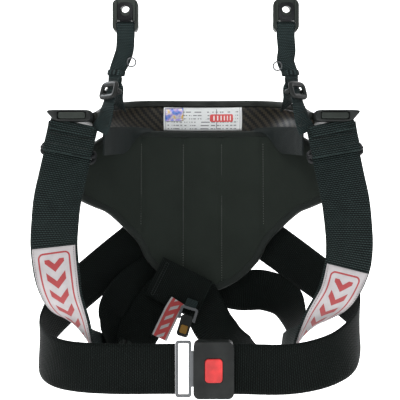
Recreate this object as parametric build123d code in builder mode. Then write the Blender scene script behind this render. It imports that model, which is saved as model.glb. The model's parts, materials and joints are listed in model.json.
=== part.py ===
"""Racing head-and-neck restraint harness: a carbon collar with belt wings, a padded
back liner, body straps, helmet tethers and their metal and plastic hardware.

Millimetres. +Z is up, -Y is the wearer's front, -X is the side called left here.
The origin lies midway between the two belt wings, at the height of their slots."""

from build123d import *
from math import cos, radians, sin
import os

os.makedirs("parts", exist_ok=True)

# Driving dimensions
WEB = 50.0                # body webbing, two inches
WEB_THICK = 2.0
TETHER = 19.0             # tether webbing, three quarters of an inch
TETHER_THICK = 1.6
GAP = 0.3                 # clearance between pieces that move past each other

COLLAR_HALF_WIDTH = 112.0
COLLAR_DEPTH = 130.0
COLLAR_THICK = 3.0
COLLAR_SQUARENESS = 0.75
COLLAR_TOP = 37.0         # rim height behind the neck
COLLAR_FALL = 32.0        # how far the rim falls towards the wings
TRIM_HEIGHT = 8.0

WING_IN, WING_OUT = 117.0, 165.0
WING_FRONT, WING_BACK = -12.0, 55.0
WING_TOP, WING_BOTTOM = 6.0, -6.5
SEAT_IN, SEAT_OUT = 129.5, 162.5   # raised pad that the car's belt lies on
SEAT_RAISE = 0.6
SCREW_X = 124.0
SCREW_Y = (15, 42)
SCREW_HEAD_R, SCREW_SHANK_R = 3.0, 1.6
BAR_AT = (137.5, 0.4)     # belt bar's centre in the wing's front face
BAR_WIDTH, BAR_HEIGHT = 29.4, 7.6

LINER_RADIUS = 217.0      # the back panel's curve round the wearer
LINER_FRONT = 116.0       # inner face at the spine
LINER_THICK = 8.0
LINER_LEAN = 0.07
SHELL_THICK = 3.2         # carbon plate behind the liner

CLIP_PIN_R = 2.5
CLIP_PIN_Z = 96.0
HELMET_POST_R = 4.2
LATCH_DROP = 3.0          # how far the latch sits below the open position

RELEASE_PIVOT = (-19, 71, -226)
RELEASE_RUN = (-0.3, -0.2, -1)

FRONT = (0, -1, 0)
BACK = (0, 1, 0)

SIDES = {"left": -1, "right": 1}


def keep(piece, label):
    """Label a finished piece and write it."""
    piece.part.label = label
    export_step(piece.part, f"parts/{label}.step")


def strap(route, facings, width, thick, standoff=0.0, span=None):
    """Flat webbing: a ruled loft of rectangles square to a hand-chosen route.
    Each facing is the way the outer face looks; standoff lifts it that way, and
    span keeps only that stretch of the route."""
    spots = [Vector(*spot) for spot in route]
    last = len(spots) - 1
    with BuildPart() as webbing:
        for i in span or range(last + 1):
            spot = spots[i]
            along = (spots[min(i + 1, last)] - spots[max(i - 1, 0)]).normalized()
            across = Vector(*facings[i]).cross(along).normalized()
            outward = along.cross(across)
            with BuildSketch(Plane(spot + outward * standoff, x_dir=across, z_dir=along)):
                Rectangle(width, thick)
        loft(ruled=True)
    return webbing


def on_strap(spot, along, facing):
    """A plane lying in a strap: X across it, Y along it, Z out of its outer face."""
    across = Vector(*along).cross(Vector(*facing)).normalized()
    outward = across.cross(Vector(*along)).normalized()
    return Plane(Vector(*spot), x_dir=across, z_dir=outward)


def three_bar_slide(plane, web, web_thick, length, rail, thick):
    """A slide whose outer ring lies on one face of the webbing and whose middle bar
    lies on the other, so that the webbing runs straight between them."""
    near = web_thick / 2 + GAP
    full = web + 2 * (GAP + rail)
    with BuildPart() as slide:
        with BuildSketch(plane.offset(near)):
            RectangleRounded(full, length, rail * 1.4)
            Rectangle(web * 0.94, length - 2 * rail, mode=Mode.SUBTRACT)
        extrude(amount=thick)
        with BuildSketch(plane.offset(-near - thick)):
            with GridLocations(full - rail, 1, 2, 1):
                Rectangle(rail, rail * 1.3)
        extrude(amount=2 * (near + thick))
        with BuildSketch(plane.offset(-near - thick)):
            Rectangle(full, rail * 1.3)
        extrude(amount=thick)
    return slide


# Carbon collar -------------------------------------------------------------------

def collar_spot(angle):
    """Centre line of the U in plan: 0 is behind the neck, 90 at the right wing.
    A superellipse, so that the back is flatter than the corners."""
    turn = radians(angle)
    sideways = COLLAR_HALF_WIDTH * abs(sin(turn)) ** COLLAR_SQUARENESS
    backward = COLLAR_DEPTH * abs(cos(turn)) ** COLLAR_SQUARENESS
    return Vector(sideways if angle > 0 else -sideways, backward, 0)


def collar_plane(angle):
    """Upright plane across the collar: X points out of the U and Y points up."""
    step = 0.4
    along = (collar_spot(angle + step) - collar_spot(angle - step)).normalized()
    outward = Vector(0, 0, 1).cross(along)
    return Plane(collar_spot(angle), x_dir=outward, z_dir=outward.cross(Vector(0, 0, 1)))


def rim_height(angle):
    return COLLAR_TOP - COLLAR_FALL * abs(angle / 90) ** 2.6


def foot_height(angle):
    """Low behind the neck, where the collar laps the back shell, high where it
    passes over the liner's corners, and low again at the wings."""
    turn = abs(angle)
    clear_of_liner = 12.5 * min(max((turn - 18) / 12, 0), 1)
    drop_at_wing = 11 * max(0, (turn - 42) / 48) ** 1.5
    return -14 + clear_of_liner - drop_at_wing


def wall_curve(angle, shift):
    """The collar wall's section, bulging outward, moved out by shift."""
    foot = foot_height(angle)
    shoulder = rim_height(angle) - TRIM_HEIGHT
    return Spline((shift - 2, foot), (shift + 3, (foot + shoulder) / 2), (shift + 2, shoulder))


COLLAR_HALF = [6, 12, 18, 24, 30, 36, 42, 48, 54, 60, 66, 72, 77, 81, 84, 87, 89.6]
COLLAR_ANGLES = [-angle for angle in reversed(COLLAR_HALF)] + [0] + COLLAR_HALF

with BuildPart() as collar_shell:
    for angle in COLLAR_ANGLES:
        with BuildSketch(collar_plane(angle)):
            with BuildLine():
                inner = wall_curve(angle, 0)
                outer = wall_curve(angle, COLLAR_THICK)
                Line(inner @ 0, outer @ 0)
                Line(inner @ 1, outer @ 1)
            make_face()
    loft(ruled=True)
keep(collar_shell, "collar_shell")

with BuildPart() as collar_edge_trim:
    for angle in COLLAR_ANGLES:
        middle = rim_height(angle) - TRIM_HEIGHT / 2
        with BuildSketch(collar_plane(angle)):
            with Locations((2 + COLLAR_THICK / 2, middle)):
                RectangleRounded(COLLAR_THICK + 3, TRIM_HEIGHT, 2)
    loft(ruled=True)
keep(collar_edge_trim, "collar_edge_trim")

# Sticker and foil seal, wrapped on the collar's inner face
for label, angles, low, high, lift in (("spec_sticker", (-19, -18, -12, -7.5, 0, 7.5, 12, 19), -1, 28, 0.2),
                                       ("foil_seal", (-18, -12, -7.5), 11, 27, 1.2)):
    with BuildPart() as sticker:
        for angle in angles:
            foot = foot_height(angle)
            height = rim_height(angle) - TRIM_HEIGHT - foot
            start = (low - foot) / height
            end = (high - foot) / height
            spots = [start, (start + end) / 2, end]
            with BuildSketch(collar_plane(angle)):
                with BuildLine(mode=Mode.PRIVATE):
                    skin = wall_curve(angle, -lift)
                    face = wall_curve(angle, -lift - 0.4)
                with BuildLine():
                    Polyline(*[skin @ spot for spot in spots],
                             *[face @ spot for spot in reversed(spots)], close=True)
                make_face()
        loft(ruled=True)
    keep(sticker, label)

# Padded back liner ---------------------------------------------------------------

LINER_HALF = [(0, -8), (108, -8), (137, -34), (144, -60), (141, -87), (112, -102),
              (95, -118), (77, -138), (66, -160), (46, -181), (24, -194), (0, -198)]
leaning = Plane(origin=(0, 0, 0), x_dir=(1, 0, 0), z_dir=(0, LINER_LEAN, 1))


def round_back(depth, thick):
    """A curved wall round the wearer's back, its inner face depth behind the liner's."""
    middle_y = LINER_FRONT - LINER_RADIUS
    inner = LINER_RADIUS + depth
    with BuildPart() as wall:
        with BuildSketch(leaning.offset(-230)):
            with Locations((0, middle_y)):
                Circle(inner + thick)
                Circle(inner, mode=Mode.SUBTRACT)
            with Locations((0, middle_y - 2 * LINER_RADIUS)):
                Rectangle(5 * LINER_RADIUS, 5.2 * LINER_RADIUS, mode=Mode.SUBTRACT)
        extrude(amount=260)
    return wall


def liner_outline(half):
    """The panel's front view, made whole by mirroring."""
    with BuildSketch(Plane.XZ) as outline:
        with BuildLine():
            Polyline(*half)
            mirror(about=Plane.YZ)
        make_face()
    return outline.sketch


with BuildPart() as back_liner:
    add(round_back(0, LINER_THICK))
    extrude(liner_outline(LINER_HALF), amount=300, both=True, mode=Mode.INTERSECT)
keep(back_liner, "back_liner")

with BuildPart() as liner_top_binding:
    add(round_back(-1.5, LINER_THICK + 1.4))
    extrude(liner_outline([(0, -2), (104, -2), (104, -7.8), (0, -7.8)]), amount=300, both=True,
            mode=Mode.INTERSECT)
keep(liner_top_binding, "liner_top_binding")

SHELL_HALF = [(0, -3), (84, -3), (84, -9), (116, -30), (122, -60), (118, -84), (95, -100),
              (76, -118), (60, -140), (48, -160), (30, -178), (0, -186)]
with BuildPart() as back_shell:
    add(round_back(LINER_THICK + 0.2, SHELL_THICK))
    extrude(liner_outline(SHELL_HALF), amount=300, both=True, mode=Mode.INTERSECT)
keep(back_shell, "back_shell")

with BuildPart() as shell_rivets:
    for x in (-42, -15, 15, 42):
        back_of_collar = COLLAR_DEPTH - 0.0022 * x ** 2
        with BuildSketch(Plane.XZ.offset(-back_of_collar - 1.5)):
            with Locations((x, -9)):
                Circle(3.5)
        extrude(amount=-1.4)
        with BuildSketch(Plane.XZ.offset(-back_of_collar - 1.5)):
            with Locations((x, -9)):
                Circle(1.6)
        extrude(amount=6)
keep(shell_rivets, "shell_rivets")

# Wings, their metal belt bars and screws -----------------------------------------

for side, sign in SIDES.items():
    bar_spot = (sign * BAR_AT[0], BAR_AT[1])
    screw_spots = [(sign * SCREW_X, y) for y in SCREW_Y]
    with BuildPart() as wing:
        with BuildSketch(Plane.XZ.offset(-WING_BACK)):
            with BuildLine():
                Polyline((sign * WING_IN, WING_BOTTOM), (sign * (WING_OUT - 11), WING_BOTTOM),
                         (sign * (WING_OUT - 3), 2.5), (sign * WING_OUT, WING_TOP),
                         (sign * WING_IN, WING_TOP), close=True)
            make_face()
        extrude(amount=WING_BACK - WING_FRONT)
        with BuildSketch(Plane.XY.offset(WING_TOP)):
            with Locations((sign * (SEAT_IN + SEAT_OUT) / 2, (WING_FRONT + WING_BACK) / 2)):
                RectangleRounded(SEAT_OUT - SEAT_IN, WING_BACK - WING_FRONT - 6, 4)
        extrude(amount=SEAT_RAISE)
        with BuildSketch(Plane.XZ.offset(-WING_FRONT)):
            with Locations(bar_spot):
                RectangleRounded(BAR_WIDTH + 2 * GAP, BAR_HEIGHT + 2 * GAP, 3)
        extrude(amount=-14, mode=Mode.SUBTRACT)
        with BuildSketch(Plane.XY.offset(WING_TOP)):
            with Locations(*screw_spots):
                Circle(SCREW_SHANK_R + 0.1)
        extrude(amount=-6, mode=Mode.SUBTRACT)
    keep(wing, f"{side}_wing")

    with BuildPart() as belt_bar:
        with BuildSketch(Plane.XZ.offset(-WING_FRONT - 1)):
            with Locations(bar_spot):
                RectangleRounded(BAR_WIDTH, BAR_HEIGHT, 2.7)
        extrude(amount=-12)
        fillet(belt_bar.faces().sort_by(Axis.Y)[0].edges(), 1.2)
    keep(belt_bar, f"{side}_belt_bar")

    with BuildPart() as wing_screws:
        with BuildSketch(Plane.XY.offset(WING_TOP - 5)):
            with Locations(*screw_spots):
                Circle(SCREW_SHANK_R)
        extrude(amount=5)
        with BuildSketch(Plane.XY.offset(WING_TOP)):
            with Locations(*screw_spots):
                Circle(SCREW_HEAD_R)
                RegularPolygon(1.3, 6, mode=Mode.SUBTRACT)
        extrude(amount=1.6)
    keep(wing_screws, f"{side}_wing_screws")

    shoulder_pad = strap([(sign * 85, 88, -9), (sign * 103, 58, -17), (sign * 116, 20, -30),
                          (sign * 121, 4, -34)],
                         [(0, -0.2, -1), (sign * -0.3, -0.2, -1), (sign * -0.75, -0.4, -0.6),
                          (sign * -0.9, -0.4, -0.4)], 20, 3)
    keep(shoulder_pad, f"{side}_shoulder_pad")

# Shoulder straps with fold-overs, adjusters and labels ---------------------------

SHOULDER = {
    "left": [(-136, 0, -7), (-138.7, -1.8, -20), (-142.3, -4.2, -38), (-146.4, -7, -58),
             (-151, -16, -88), (-152, -24, -114), (-151.5, -30, -136), (-147.6, -34, -164),
             (-142.4, -30, -189), (-132.5, -18, -212), (-124, 0, -232), (-115, 24, -252),
             (-108, 44, -264)],
    "right": [(133.5, 0, -7), (135.8, -1.8, -20), (139, -4.2, -38), (142.5, -7, -58),
              (147, -16, -88), (148.3, -24, -114), (148, -30, -136), (144.6, -34, -157),
              (135.4, -30, -184), (118.6, -16, -210), (106, 0, -230), (95, 24, -249),
              (88, 44, -261)],
}
SHOULDER_FACINGS = [(0, -1, 0), (0, -1, 0), (0, -1, 0), (0, -1, 0), (0.05, -1, 0), (0.1, -1, 0),
                    (0.15, -1, 0), (0.25, -1, 0), (0.45, -0.9, 0), (0.65, -0.75, 0),
                    (0.8, -0.6, 0), (0.9, -0.4, 0), (0.95, -0.3, 0)]
LABEL_SPAN = {"left": range(6, 11), "right": range(7, 12)}

for side, sign in SIDES.items():
    route = SHOULDER[side]
    facings = [(sign * x, y, z) for x, y, z in SHOULDER_FACINGS]
    shoulder_strap = strap(route, facings, WEB, WEB_THICK)
    keep(shoulder_strap, f"{side}_shoulder_strap")

    strap_label = strap(route, facings, WEB - 4, 0.5, WEB_THICK / 2 + 0.4, LABEL_SPAN[side])
    keep(strap_label, f"{side}_strap_label")

    fold = strap([(sign * 1 + route[0][0], -6.3, -8), (route[1][0], -8, -20), (route[2][0], -10.4, -38)],
                 [FRONT] * 3, WEB, WEB_THICK)
    keep(fold, f"{side}_shoulder_fold")

    run = tuple(b - a for a, b in zip(route[1], route[3]))
    shoulder_adjuster = three_bar_slide(on_strap(route[2], run, FRONT), WEB, WEB_THICK, 24, 4.5, 2.2)
    keep(shoulder_adjuster, f"{side}_shoulder_adjuster")

# Side straps, lower straps and cross straps --------------------------------------

SIDE_STRAP = {
    "left": [(-62, 117, -118), (-79, 112, -137), (-112, 100, -164), (-144, 75, -192),
             (-163, 50, -213), (-175, 20, -235), (-168, -10, -247), (-142, -33, -254),
             (-93, -42, -256), (-28.2, -42, -256)],
    "right": [(60, 114, -122), (80, 108, -138), (111, 97, -161), (136, 74, -180),
              (158, 46, -196), (168, 20, -212), (160, -8, -230), (136, -32, -246),
              (90, -42, -256), (25, -42, -256)],
}
SIDE_FACINGS = [(0.1, 1, 0), (0.2, 1, 0), (0.4, 0.9, 0), (0.6, 0.8, 0), (0.85, 0.5, 0), (1, 0, 0),
                (0.85, -0.55, 0), (0.3, -1, 0), (0, -1, 0), (0, -1, 0)]

LOWER_STRAP = {
    "left": [(-26, 118, -160), (-52, 113.5, -174), (-86, 97, -196), (-102, 83, -217),
             (-106, 71, -238), (-107, 60, -253), (-109, 47, -266)],
    "right": [(14, 116.5, -192), (45, 115.5, -199), (74, 114, -199), (99, 108, -208),
              (110, 92, -227), (111, 72, -246), (107, 50, -263)],
}
LOWER_FACINGS = [(0, 1, 0), (0.2, 1, 0), (0.4, 0.9, 0), (0.6, 0.8, 0), (0.8, 0.5, 0), (0.9, 0.3, 0),
                 (0.95, -0.2, 0)]

CROSS_STRAP = {
    "left": [(-30, 97, -190), (-47, 96, -203), (-62, 94, -222), (-76, 84, -243), (-88, 66, -260),
             (-97, 52, -268)],
    "right": [(-8, 99.6, -201), (3, 98.6, -221), (14, 94.5, -241), (31, 84, -257), (56, 67, -266),
              (80, 52, -268)],
}
CROSS_FACINGS = [(0, -1, 0), (0, -1, 0), (0, -1, -0.1), (0.2, -1, -0.3), (0.5, -0.9, -0.4),
                 (0.8, -0.6, -0.3)]

for side, sign in SIDES.items():
    for label, routes, facings in (("side_strap", SIDE_STRAP, SIDE_FACINGS),
                                   ("lower_strap", LOWER_STRAP, LOWER_FACINGS),
                                   ("cross_strap", CROSS_STRAP, CROSS_FACINGS)):
        turned = [(sign * x, y, z) for x, y, z in facings]
        body_strap = strap(routes[side], turned, WEB, WEB_THICK)
        keep(body_strap, f"{side}_{label}")

# Keeper folded over the crossing of the lower straps, and a pull strap
crossover_keeper = strap([(-58, 88, -178), (-30, 87, -192), (-2, 86, -206)], [FRONT] * 3, WEB, 5)
keep(crossover_keeper, "crossover_keeper")

pull_strap = strap([(-29, 80, -207), (-36, 78, -218), (-43, 74, -232), (-51, 68, -248)],
                   [(-0.1, -1, 0)] * 4, 22, 1.6)
keep(pull_strap, "pull_strap")

release_tab = strap([(-12, 81.5, -206), (-15.5, 76, -215)], [FRONT] * 2, 14, 1.6)
keep(release_tab, "release_tab")

care_tag = strap([(-106, 107, -178), (-114, 107, -192), (-121, 107, -204)], [(0.3, -1, 0)] * 3, 16, 0.5)
keep(care_tag, "care_tag")

# Quick-release clip: a steel loop on the keeper, a body that swings on its lower bar,
# and a brass plunger. Y runs down the clip in its plane.
release_plane = on_strap(RELEASE_PIVOT, RELEASE_RUN, FRONT)
with BuildPart() as release_ring:
    with BuildSketch(release_plane.offset(-1.4)):
        with Locations((0, -6.5)):
            RectangleRounded(21, 14, 3)
        with Locations((0, -4)):
            Rectangle(15, 13.4, mode=Mode.SUBTRACT)
    extrude(amount=2.8)
    with BuildSketch(release_plane.offset(-1.4)):
        with GridLocations(18, 1, 2, 1):
            Rectangle(3, 4.8)
    extrude(amount=2.8)
    with BuildSketch(Plane(release_plane.origin - release_plane.x_dir * 9.5,
                           x_dir=release_plane.y_dir, z_dir=release_plane.x_dir)):
        Circle(1.3)
    extrude(amount=19)
keep(release_ring, "release_ring")

with BuildPart() as release_body:
    with BuildSketch(release_plane.offset(-4)):
        with Locations((0, 9)):
            RectangleRounded(13.6, 25, 3.5)
    extrude(amount=8)
    with BuildSketch(Plane(release_plane.origin - release_plane.x_dir * 9,
                           x_dir=release_plane.y_dir, z_dir=release_plane.x_dir)):
        Circle(1.7)
    extrude(amount=18, mode=Mode.SUBTRACT)
    with BuildSketch(release_plane.offset(4)):
        with Locations((0, 13)):
            RectangleRounded(9, 10, 2)
    extrude(amount=-4, mode=Mode.SUBTRACT)
keep(release_body, "release_body")

with BuildPart() as release_plunger:
    with BuildSketch(release_plane.offset(2)):
        with Locations((0, 13)):
            RectangleRounded(8.4, 9.4, 1.7)
    extrude(amount=3.6)
keep(release_plunger, "release_plunger")

# Helmet tethers with slides, keepers and quick-release clips ----------------------

TETHER_FACINGS = [(0.1, -1, 0)] + [(0.7, -0.7, 0)] * 6 + [(0.4, -1, 0), (0, -1, 0), (0, -1, 0)]


def tether_route(sign, top):
    """Up from the collar's end, straight through the slide, then in to the clip."""
    straight = [(sign * (101.2 - 2.3 * step), -7 + step, 6 + 10 * step) for step in range(5)]
    rise = [(sign * 87, -2, 58), (sign * (top + 1), -2, 70), (sign * top, -2, CLIP_PIN_Z - CLIP_PIN_R - 2 * GAP)]
    return [(sign * 110, -3.2, -16), (sign * 104.5, -5, -5)] + straight + rise


for side, sign in SIDES.items():
    top = 82 if side == "left" else 87
    route = tether_route(sign, top)
    facings = [(sign * x, y, z) for x, y, z in TETHER_FACINGS]
    tether_strap = strap(route, facings, TETHER, TETHER_THICK)
    keep(tether_strap, f"{side}_tether_strap")

    run = (sign * -2.3, 1, 10)
    slide_plane = on_strap(route[4], run, facings[4])
    tether_slide = three_bar_slide(slide_plane, TETHER, TETHER_THICK, 20, 3, 1.8)
    keep(tether_slide, f"{side}_tether_slide")

    with BuildPart() as tether_keeper:
        with BuildSketch(on_strap(route[6], run, facings[6]).offset(-2.6)):
            Rectangle(TETHER + 4, 5.5)
        extrude(amount=5.2)
        with BuildSketch(on_strap(route[6], run, facings[6]).offset(-TETHER_THICK / 2)):
            Rectangle(TETHER, 12)
        extrude(amount=TETHER_THICK, mode=Mode.SUBTRACT)
    keep(tether_keeper, f"{side}_tether_keeper")

    with BuildPart() as clip_pin:
        with BuildSketch(Plane.YZ.offset(sign * top - 11.5)):
            with Locations((-2, CLIP_PIN_Z)):
                Circle(CLIP_PIN_R)
        extrude(amount=23)
    keep(clip_pin, f"{side}_clip_pin")

    with BuildPart() as helmet_clip:
        with BuildSketch(Plane.XZ.offset(-2)):
            with Locations((sign * top, CLIP_PIN_Z + 10)):
                RectangleRounded(27, 34, 6)
            with Locations((sign * top, CLIP_PIN_Z - 2)):
                Rectangle(20, 14, mode=Mode.SUBTRACT)
            with Locations((sign * top, CLIP_PIN_Z + 17)):
                Circle(HELMET_POST_R, mode=Mode.SUBTRACT)
        extrude(amount=8)
        with BuildSketch(Plane.YZ.offset(sign * top - 15)):
            with Locations((-2, CLIP_PIN_Z)):
                Circle(CLIP_PIN_R + 0.15)
        extrude(amount=30, mode=Mode.SUBTRACT)
        with BuildSketch(Plane.XZ.offset(6)):
            with Locations((sign * top, CLIP_PIN_Z + 14)):
                with GridLocations(19, 1, 2, 1):
                    Rectangle(2, 22)
        extrude(amount=2.4)
    keep(helmet_clip, f"{side}_helmet_clip")

    with BuildPart() as clip_latch:
        with BuildSketch(Plane.XZ.offset(6 + GAP)):
            with Locations((sign * top, CLIP_PIN_Z + 13)):
                RectangleRounded(16, 20, 5)
            with Locations((sign * top, CLIP_PIN_Z + 17 - LATCH_DROP)):
                Circle(HELMET_POST_R + 1, mode=Mode.SUBTRACT)
        extrude(amount=2)
        with BuildSketch(Plane.XZ.offset(8 + GAP)):
            with Locations((sign * top, CLIP_PIN_Z + 6)):
                RectangleRounded(12, 3, 1.2)
        extrude(amount=1.6)
    keep(clip_latch, f"{side}_clip_latch")

# Chest buckle --------------------------------------------------------------------

BUCKLE_Y, BUCKLE_Z = -42.0, -256.0
with BuildPart() as chest_buckle:
    with BuildSketch(Plane.XZ.offset(-BUCKLE_Y - 6)):
        with Locations((10, BUCKLE_Z)):
            RectangleRounded(40, 56, 6)
    extrude(amount=14)
    with BuildSketch(Plane.YZ.offset(-10)):
        with Locations((BUCKLE_Y, BUCKLE_Z)):
            Rectangle(4, 36)
    extrude(amount=24, mode=Mode.SUBTRACT)
    with BuildSketch(Plane.YZ.offset(30)):
        with Locations((BUCKLE_Y, BUCKLE_Z)):
            Rectangle(WEB_THICK + 1, WEB + 1)
    extrude(amount=-6, mode=Mode.SUBTRACT)
    with BuildSketch(Plane.XZ.offset(-BUCKLE_Y + 8)):
        with Locations((10, BUCKLE_Z)):
            RectangleRounded(18, 24, 4)
    extrude(amount=-4, mode=Mode.SUBTRACT)
keep(chest_buckle, "chest_buckle")

with BuildPart() as release_button:
    with BuildSketch(Plane.XZ.offset(-BUCKLE_Y + 6.2)):
        with Locations((10, BUCKLE_Z)):
            RectangleRounded(17.4, 23.4, 3.7)
    extrude(amount=3.4)
    fillet(release_button.faces().sort_by(Axis.Y)[0].edges(), 1)
keep(release_button, "release_button")

with BuildPart() as chest_tongue:
    with BuildSketch(Plane.XZ.offset(-BUCKLE_Y - 1.5)):
        with Locations((-3, BUCKLE_Z)):
            RectangleRounded(30, 35, 3)
        with Locations((-20, BUCKLE_Z)):
            RectangleRounded(16, 56, 3)
    extrude(amount=3)
    with BuildSketch(Plane.XZ.offset(-BUCKLE_Y - 4)):
        with Locations((-20, BUCKLE_Z)):
            Rectangle(10, WEB + 1)
    extrude(amount=8, mode=Mode.SUBTRACT)
keep(chest_tongue, "chest_tongue")
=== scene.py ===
import bpy
import bmesh
import json
import math
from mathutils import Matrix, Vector, noise


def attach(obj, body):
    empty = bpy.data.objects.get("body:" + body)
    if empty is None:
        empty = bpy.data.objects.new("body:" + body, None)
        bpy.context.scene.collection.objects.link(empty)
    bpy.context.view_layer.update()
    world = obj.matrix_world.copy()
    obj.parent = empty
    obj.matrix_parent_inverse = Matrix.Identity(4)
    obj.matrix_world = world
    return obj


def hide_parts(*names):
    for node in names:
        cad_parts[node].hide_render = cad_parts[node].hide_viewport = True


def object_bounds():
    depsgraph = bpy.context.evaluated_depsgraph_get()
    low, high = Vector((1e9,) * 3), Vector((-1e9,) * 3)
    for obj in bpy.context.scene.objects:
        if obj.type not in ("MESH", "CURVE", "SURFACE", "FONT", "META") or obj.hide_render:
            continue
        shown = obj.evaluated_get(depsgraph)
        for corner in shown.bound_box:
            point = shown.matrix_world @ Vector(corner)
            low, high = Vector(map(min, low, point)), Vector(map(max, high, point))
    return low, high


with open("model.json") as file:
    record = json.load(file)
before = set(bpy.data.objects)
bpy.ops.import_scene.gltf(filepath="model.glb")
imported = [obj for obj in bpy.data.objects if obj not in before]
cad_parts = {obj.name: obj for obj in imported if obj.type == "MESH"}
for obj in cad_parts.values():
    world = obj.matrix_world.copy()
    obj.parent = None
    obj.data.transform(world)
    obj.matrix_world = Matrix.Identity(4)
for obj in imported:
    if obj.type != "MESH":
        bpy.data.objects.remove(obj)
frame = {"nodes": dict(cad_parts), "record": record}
cad_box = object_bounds()

# Sizes in millimetres, as in the design; pieces are made in metres
MM = 0.001
WEB, WEB_THICK = 50.0, 2.0
TETHER, TETHER_THICK = 19.0, 1.6
COLLAR_HALF_WIDTH, COLLAR_DEPTH, COLLAR_THICK, SQUARENESS = 112.0, 130.0, 3.0, 0.75
COLLAR_TOP, COLLAR_FALL, TRIM_HEIGHT = 37.0, 32.0, 8.0
LINER_RADIUS, LINER_FRONT, LINER_THICK, LINER_LEAN = 217.0, 116.0, 8.0, 0.07
SHELL_THICK = 3.2
CLIP_PIN_Z = 96.0
SIDES = {"left": -1, "right": 1}
CAMERA_PLACE = (-3.5, -700.0, -88.0)
LENS_MM = 59.5

FRONT = (0, -1, 0)


# Camera, light and backdrop -------------------------------------------------------

def make_camera():
    data = bpy.data.cameras.new("camera")
    data.lens = LENS_MM
    data.sensor_width = 36
    camera = bpy.data.objects.new("camera", data)
    camera.location = Vector(CAMERA_PLACE) * MM
    camera.rotation_euler = (math.radians(90), 0, 0)
    bpy.context.collection.objects.link(camera)
    bpy.context.scene.camera = camera


def make_light(name, place, target, size, power, colour=(1, 1, 1)):
    data = bpy.data.lights.new(name, "AREA")
    data.shape = "DISK"
    data.size = size
    data.energy = power
    data.color = colour
    light = bpy.data.objects.new(name, data)
    light.location = place
    aim = Vector(target) - Vector(place)
    light.rotation_euler = aim.to_track_quat("-Z", "Y").to_euler()
    bpy.context.collection.objects.link(light)


def make_stage():
    """A pale floor that sweeps up into a pale backdrop."""
    reach, bend_at, sweep, gap = 6.0, 2.2, 1.2, 0.03
    floor_z = cad_box[0][2] - gap
    profile = [(-reach, floor_z), (bend_at, floor_z)]
    for step in range(1, 13):
        turn = math.radians(step * 7.5)
        profile.append((bend_at + sweep * math.sin(turn), floor_z + sweep * (1 - math.cos(turn))))
    profile.append((bend_at + sweep, reach))
    mesh = bpy.data.meshes.new("backdrop")
    verts = [(x, y, z) for y, z in profile for x in (-reach, reach)]
    faces = [(2 * i, 2 * i + 1, 2 * i + 3, 2 * i + 2) for i in range(len(profile) - 1)]
    mesh.from_pydata(verts, [], faces)
    mesh.shade_smooth()
    backdrop = bpy.data.objects.new("backdrop", mesh)
    bpy.context.collection.objects.link(backdrop)
    paint = bpy.data.materials.new("backdrop")
    paint.use_nodes = True
    shader = paint.node_tree.nodes["Principled BSDF"]
    shader.inputs["Base Color"].default_value = (0.93, 0.93, 0.93, 1)
    shader.inputs["Roughness"].default_value = 0.9
    shader.inputs["Emission Color"].default_value = (1, 1, 1, 1)
    shader.inputs["Emission Strength"].default_value = 0.75
    mesh.materials.append(paint)


def make_studio():
    scene = bpy.context.scene
    scene.view_settings.view_transform = "Standard"
    world = bpy.data.worlds.new("studio")
    world.use_nodes = True
    world.node_tree.nodes["Background"].inputs["Color"].default_value = (0.97, 0.98, 1.0, 1)
    world.node_tree.nodes["Background"].inputs["Strength"].default_value = 0.6
    scene.world = world
    make_light("key", (-0.7, -1.5, 1.3), (0, 0, -0.05), 1.0, 15, (1.0, 0.99, 0.97))
    make_light("fill", (1.4, -1.3, 0.4), (0, 0, -0.1), 1.2, 3, (0.93, 0.97, 1.0))
    make_light("rim", (-1.2, 0.9, 0.9), (0, 0, -0.05), 0.7, 8, (0.9, 0.95, 1.0))
    make_light("backdrop_light", (0, 0.9, 2.4), (0, 2.6, 0.2), 2.4, 60)


# Materials ------------------------------------------------------------------------

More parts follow.
